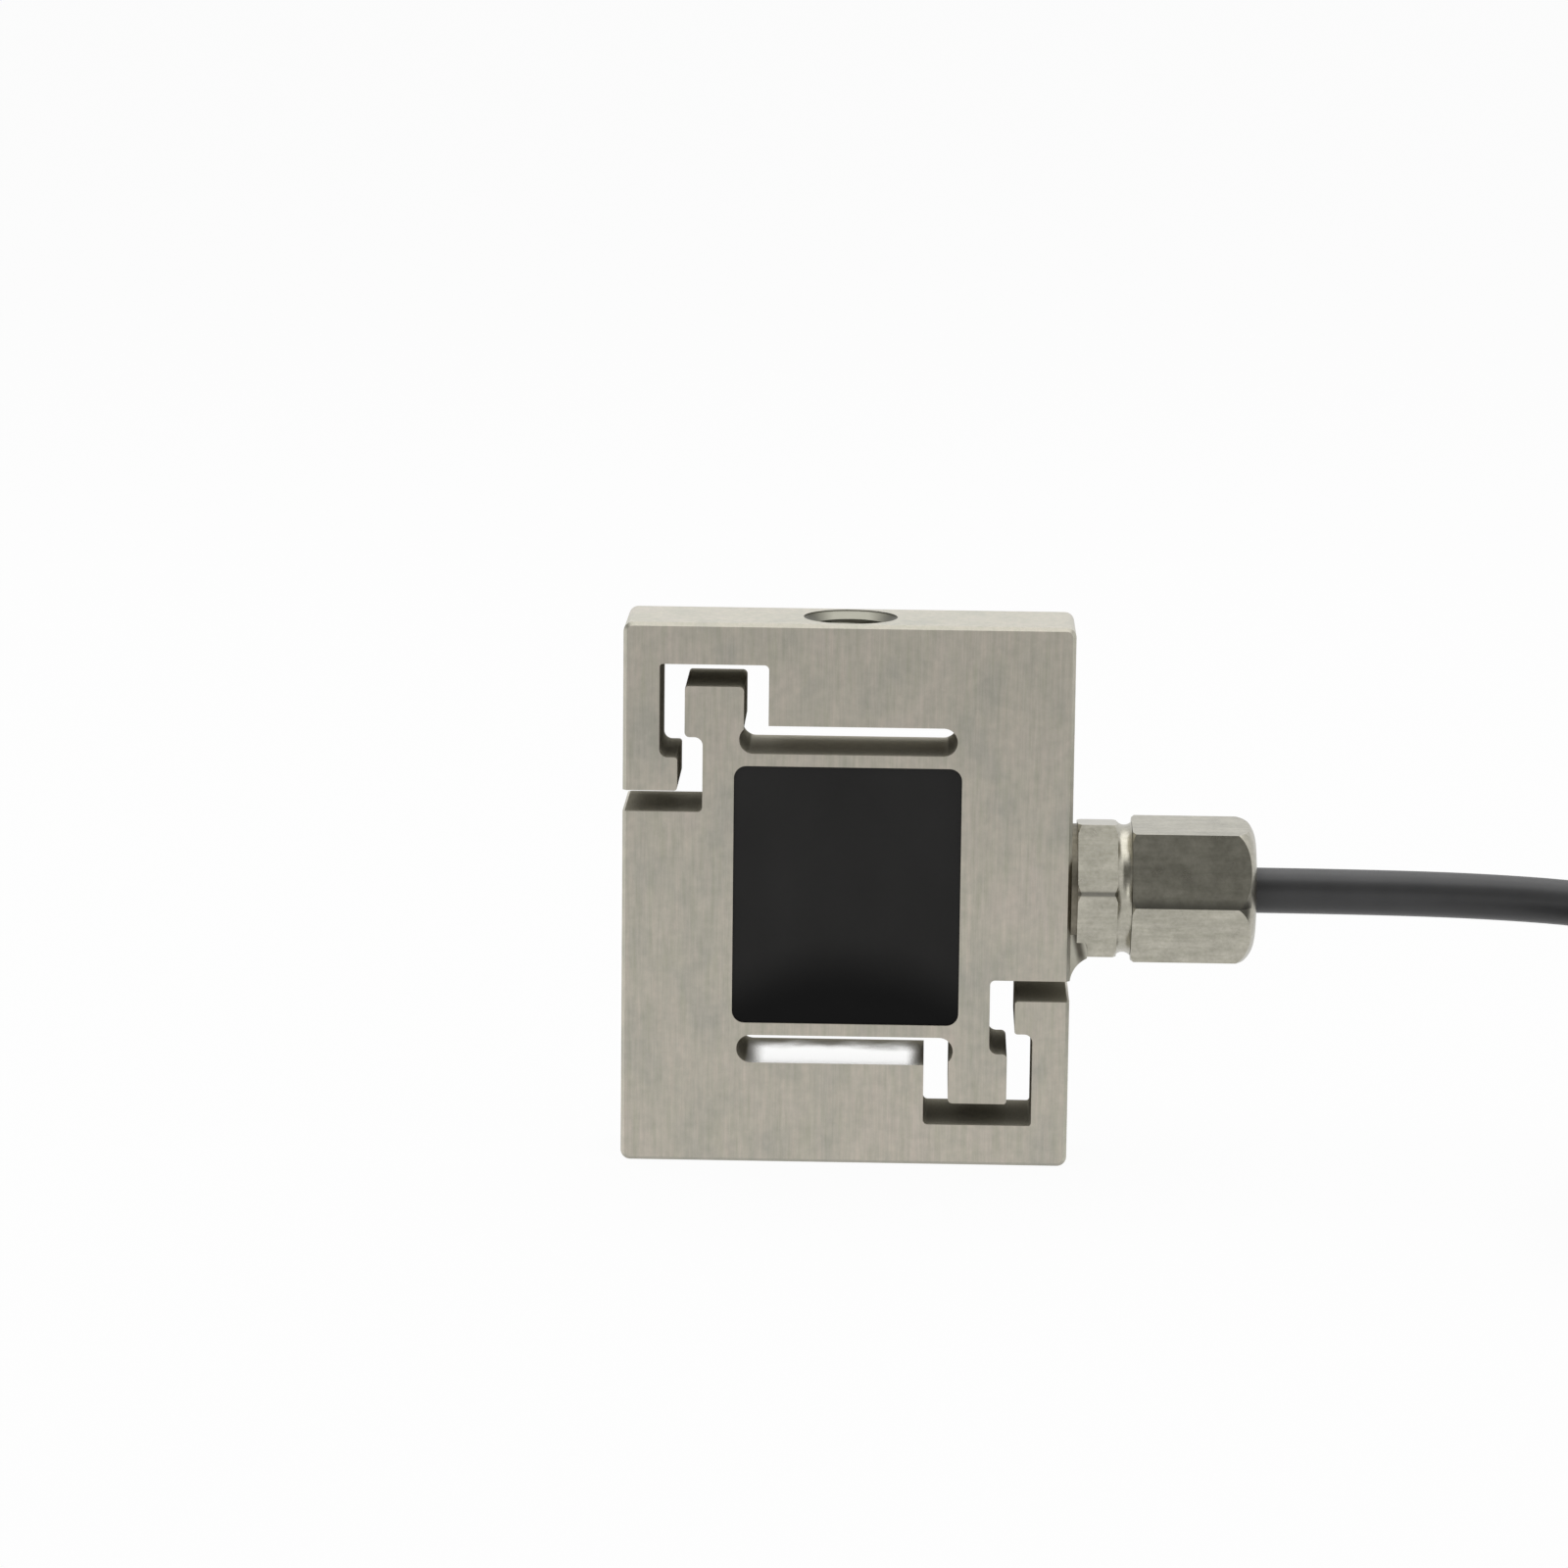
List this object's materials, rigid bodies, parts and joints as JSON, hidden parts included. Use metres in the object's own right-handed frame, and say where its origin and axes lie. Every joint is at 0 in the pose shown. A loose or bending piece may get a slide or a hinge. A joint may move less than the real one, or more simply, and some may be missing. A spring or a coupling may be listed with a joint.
{
  "type": "s type load cell",
  "caption": "S-shaped steel beam with a potted gauge window, overload hooks, threaded load holes at both ends and a side gland with a long tied cable; senses tension and compression.",
  "frame": {"origin": "middle of the bottom face, on the load axis, at mid-thickness", "axes": "+Z along the load axis towards the top thread, +X out of the cable gland, -Y out of the front face"},
  "size_m": [0.1845, 0.0778, 0.062],
  "materials": {
    "steel_body": "fine brushed, plated",
    "gland_metal": "nickel plated brass, satin",
    "gland_rubber": "matte",
    "sealant": "satin",
    "potting": "satin",
    "gauge_film": "semi-gloss film",
    "board": "solder resist",
    "solder": "bright tin",
    "jacket": "satin",
    "black_plastic": "satin",
    "core_red": "gloss",
    "core_black": "gloss",
    "core_green": "gloss",
    "core_white": "gloss",
    "bare_copper": "tinned strands"
  },
  "bodies": {
    "root": {"cable": "jacket", "cable_coil": "jacket", "cable_inside_gland": "jacket", "cable_tail": "jacket", "cable_tie_1": "black_plastic", "cable_tie_2": "black_plastic", "cable_tie_3": "black_plastic", "core_black": "core_black", "core_green": "core_green", "core_red": "core_red", "core_white": "core_white", "drain_wire": "bare_copper", "end_sleeve": "black_plastic", "gauge_leads_lower_left": "bare_copper", "gauge_leads_lower_right": "bare_copper", "gauge_leads_upper_left": "bare_copper", "gauge_leads_upper_right": "bare_copper", "gland_body": "gland_metal", "gland_cap_nut": "gland_metal", "gland_seal": "gland_rubber", "gland_sealant": "sealant", "gland_thrust_ring": "gland_metal", "gland_washer": "gland_metal", "inner_core_black": "core_black", "inner_core_green": "core_green", "inner_core_red": "core_red", "inner_core_white": "core_white", "inner_drain_wire": "bare_copper", "potting_compound": "potting", "sensor_body": "steel_body", "solder_joints": "solder", "span_resistor": "black_plastic", "strain_gauge_lower_left": "gauge_film", "strain_gauge_lower_right": "gauge_film", "strain_gauge_upper_left": "gauge_film", "strain_gauge_upper_right": "gauge_film", "terminal_board": "board", "tinned_tips": "bare_copper", "zero_resistor": "black_plastic"}
  },
  "joints": []
}
